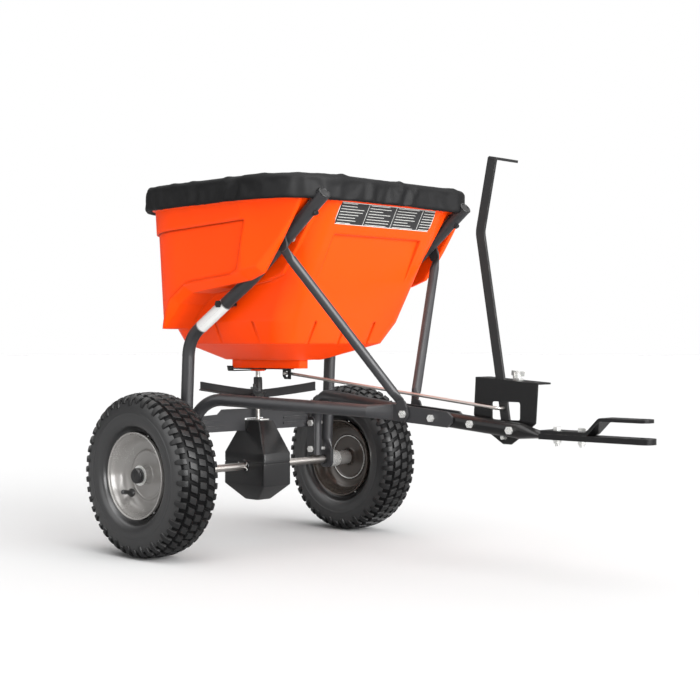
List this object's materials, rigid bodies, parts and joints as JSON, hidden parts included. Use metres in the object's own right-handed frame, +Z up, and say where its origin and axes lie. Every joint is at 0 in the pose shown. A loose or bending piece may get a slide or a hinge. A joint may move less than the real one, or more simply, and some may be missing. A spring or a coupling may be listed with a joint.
{
  "type": "tow-behind broadcast spreader",
  "caption": "Wheeled hopper with a ground-driven spinner, lever-worked flow gate and clevis hitch, for spreading seed or granules behind a small tractor",
  "frame": {"origin": "on the ground, at the middle of the bounding box's underside", "axes": "+X forward to the hitch, +Y to the machine's left, +Z up"},
  "size_m": [1.134, 0.6844, 0.7738],
  "materials": {
    "hopper_plastic": "semi-gloss moulded polyethylene, orange",
    "frame_paint": "dark grey satin powder coat",
    "black_paint": "black gloss powder coat",
    "lever_paint": "mid-grey satin powder coat",
    "zinc": "bright zinc plate",
    "bright_steel": "bright drawn steel",
    "rim_paint": "warm silver-grey paint",
    "rim_back": "dark brown-grey primer",
    "rubber": "black rubber",
    "black_plastic": "black moulded plastic",
    "impeller_plastic": "dark grey moulded plastic",
    "gear_steel": "sintered steel, oiled",
    "cover_cloth": "charcoal coated cloth"
  },
  "bodies": {
    "frame": {"hopper": "hopper_plastic", "leg_right": "frame_paint", "leg_left": "frame_paint", "axle_bushing_right": "black_plastic", "axle_bushing_left": "black_plastic", "base_tube_right": "frame_paint", "base_tube_left": "frame_paint", "brace_right": "frame_paint", "brace_left": "frame_paint", "frame_bolts_right": "zinc", "frame_bolts_left": "zinc", "hopper_bolts_right": "zinc", "hopper_bolts_left": "zinc", "brace_bolt_right": "zinc", "brace_bolt_left": "zinc", "cross_plate": "frame_paint", "tongue": "black_paint", "hitch_strap": "black_paint", "hitch_bolts": "zinc", "tongue_bolts": "zinc", "control_bracket": "black_paint", "pivot_bolt": "zinc", "gate_guides": "black_plastic", "gearbox_rear": "black_plastic", "gearbox_front": "black_plastic", "gearbox_bearing_plate": "zinc"},
    "axle": {"axle": "bright_steel", "drive_gear": "gear_steel", "drive_pin": "zinc", "tyre_right": "rubber", "rim_outer_right": "rim_paint", "rim_inner_right": "rim_back", "hub_right": "rim_paint", "valve_right": "rubber", "axle_spacer_right": "zinc", "axle_spacer_left": "zinc", "axle_washer_right": "zinc", "axle_washer_left": "zinc", "axle_cap_right": "black_plastic", "axle_cap_left": "black_plastic"},
    "free_wheel": {"tyre_left": "rubber", "rim_outer_left": "rim_paint", "rim_inner_left": "rim_back", "hub_left": "rim_paint", "valve_left": "rubber"},
    "spinner": {"spinner_shaft": "bright_steel", "pinion": "gear_steel", "impeller": "impeller_plastic", "agitator": "bright_steel"},
    "lever": {"lever": "lever_paint"},
    "control_rod": {"control_rod": "bright_steel"},
    "gate": {"gate": "black_paint"},
    "flow_stop": {"flow_stop": "zinc", "wing_nut": "zinc"},
    "cover": {"cover": "cover_cloth"}
  },
  "joints": [
    {"name": "axle_spin", "type": "hinge", "parent": "frame", "child": "axle", "pos_m": [-0.402, 0, 0.165], "axis": [0, 1, 0], "continuous": true},
    {"name": "free_wheel_spin", "type": "hinge", "parent": "frame", "child": "free_wheel", "pos_m": [-0.402, 0.2907, 0.165], "axis": [0, 1, 0], "continuous": true},
    {"name": "spinner_spin", "type": "hinge", "parent": "frame", "child": "spinner", "pos_m": [-0.402, 0, 0.25], "axis": [0, 0, 1], "continuous": true},
    {"name": "lever_pivot", "type": "hinge", "parent": "frame", "child": "lever", "pos_m": [0.248, 0.0235, 0.256], "axis": [0, 1, 0], "range_deg": [0, 28]},
    {"name": "rod_pivot", "type": "hinge", "parent": "lever", "child": "control_rod", "pos_m": [0.239, 0.0235, 0.3083], "axis": [0, 1, 0], "range_deg": [-28, 0]},
    {"name": "gate_slide", "type": "slide", "parent": "frame", "child": "gate", "axis": [1, 0, 0], "range_m": [0, 0.026]},
    {"name": "stop_slide", "type": "slide", "parent": "frame", "child": "flow_stop", "axis": [0.998, 0, -0.0637], "range_m": [-0.028, 0.05]},
    {"name": "cover_lift", "type": "slide", "parent": "frame", "child": "cover", "axis": [0, 0, 1], "range_m": [0, 0.3]}
  ],
  "couplings": [
    {"joint": "spinner_spin", "follows": "axle_spin", "ratio": -3},
    {"joint": "rod_pivot", "follows": "lever_pivot", "ratio": -1},
    {"joint": "gate_slide", "follows": "lever_pivot", "m_per_rad": 0.052}
  ]
}
